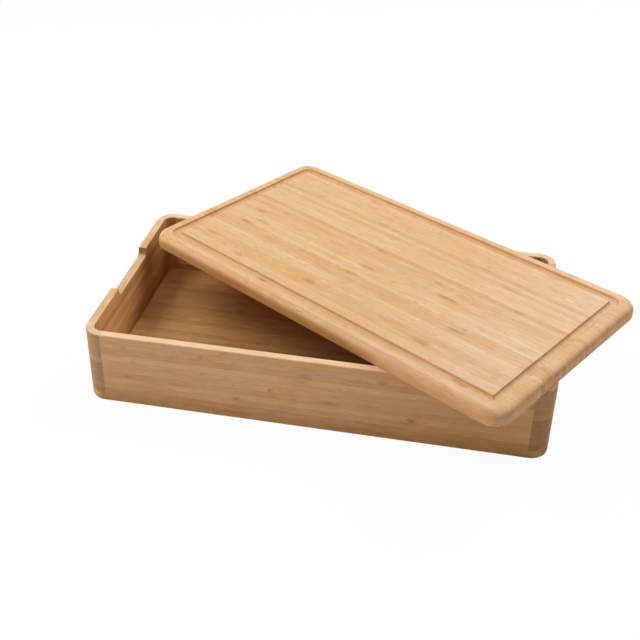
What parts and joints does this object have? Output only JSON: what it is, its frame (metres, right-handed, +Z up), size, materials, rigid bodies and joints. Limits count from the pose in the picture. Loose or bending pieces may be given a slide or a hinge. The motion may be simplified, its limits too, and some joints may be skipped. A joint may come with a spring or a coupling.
{
  "type": "cutting board with storage box",
  "caption": "Bamboo storage box with rounded corner posts and grip notches, and a loose cutting board with a juice groove lying askew on its rim as a lid.",
  "frame": {"origin": "centre of the box's underside", "axes": "+Z up, +X along the box's long side to the right, +Y to its back"},
  "size_m": [0.5935, 0.4966, 0.1061],
  "materials": {
    "board_bamboo": "oiled bamboo, satin",
    "wall_bamboo": "oiled bamboo, satin",
    "post_bamboo": "darker oiled bamboo, satin",
    "base_bamboo": "oiled bamboo, satin",
    "spline_bamboo": "raw bamboo"
  },
  "bodies": {
    "box": {"back_left_long_wall_spline": "spline_bamboo", "back_left_post_lower_block": "post_bamboo", "back_left_post_upper_block": "post_bamboo", "back_left_short_wall_spline": "spline_bamboo", "back_right_long_wall_spline": "spline_bamboo", "back_right_post_lower_block": "post_bamboo", "back_right_post_upper_block": "post_bamboo", "back_right_short_wall_spline": "spline_bamboo", "back_wall_strip_1": "wall_bamboo", "back_wall_strip_2": "wall_bamboo", "back_wall_strip_3": "wall_bamboo", "base_stave_01": "base_bamboo", "base_stave_02": "base_bamboo", "base_stave_03": "base_bamboo", "base_stave_04": "base_bamboo", "base_stave_05": "base_bamboo", "base_stave_06": "base_bamboo", "base_stave_07": "base_bamboo", "base_stave_08": "base_bamboo", "base_stave_09": "base_bamboo", "front_left_long_wall_spline": "spline_bamboo", "front_left_post_lower_block": "post_bamboo", "front_left_post_upper_block": "post_bamboo", "front_left_short_wall_spline": "spline_bamboo", "front_right_long_wall_spline": "spline_bamboo", "front_right_post_lower_block": "post_bamboo", "front_right_post_upper_block": "post_bamboo", "front_right_short_wall_spline": "spline_bamboo", "front_wall_strip_1": "wall_bamboo", "front_wall_strip_2": "wall_bamboo", "front_wall_strip_3": "wall_bamboo", "left_wall_strip_1": "wall_bamboo", "left_wall_strip_2": "wall_bamboo", "left_wall_strip_3": "wall_bamboo", "right_wall_strip_1": "wall_bamboo", "right_wall_strip_2": "wall_bamboo", "right_wall_strip_3": "wall_bamboo"},
    "board": {"board_stave_01": "board_bamboo", "board_stave_02": "board_bamboo", "board_stave_03": "board_bamboo", "board_stave_04": "board_bamboo", "board_stave_05": "board_bamboo", "board_stave_06": "board_bamboo", "board_stave_07": "board_bamboo", "board_stave_08": "board_bamboo", "board_stave_09": "board_bamboo", "board_stave_10": "board_bamboo", "board_stave_11": "board_bamboo", "board_stave_12": "board_bamboo", "board_stave_13": "board_bamboo", "board_stave_14": "board_bamboo"}
  },
  "joints": [
    {"name": "board_swivel", "type": "hinge", "parent": "box", "child": "board", "pos_m": [0.10507, -0.07008, 0.0893], "axis": [0, 0, 1], "range_deg": [-58.25, 31.75]}
  ]
}
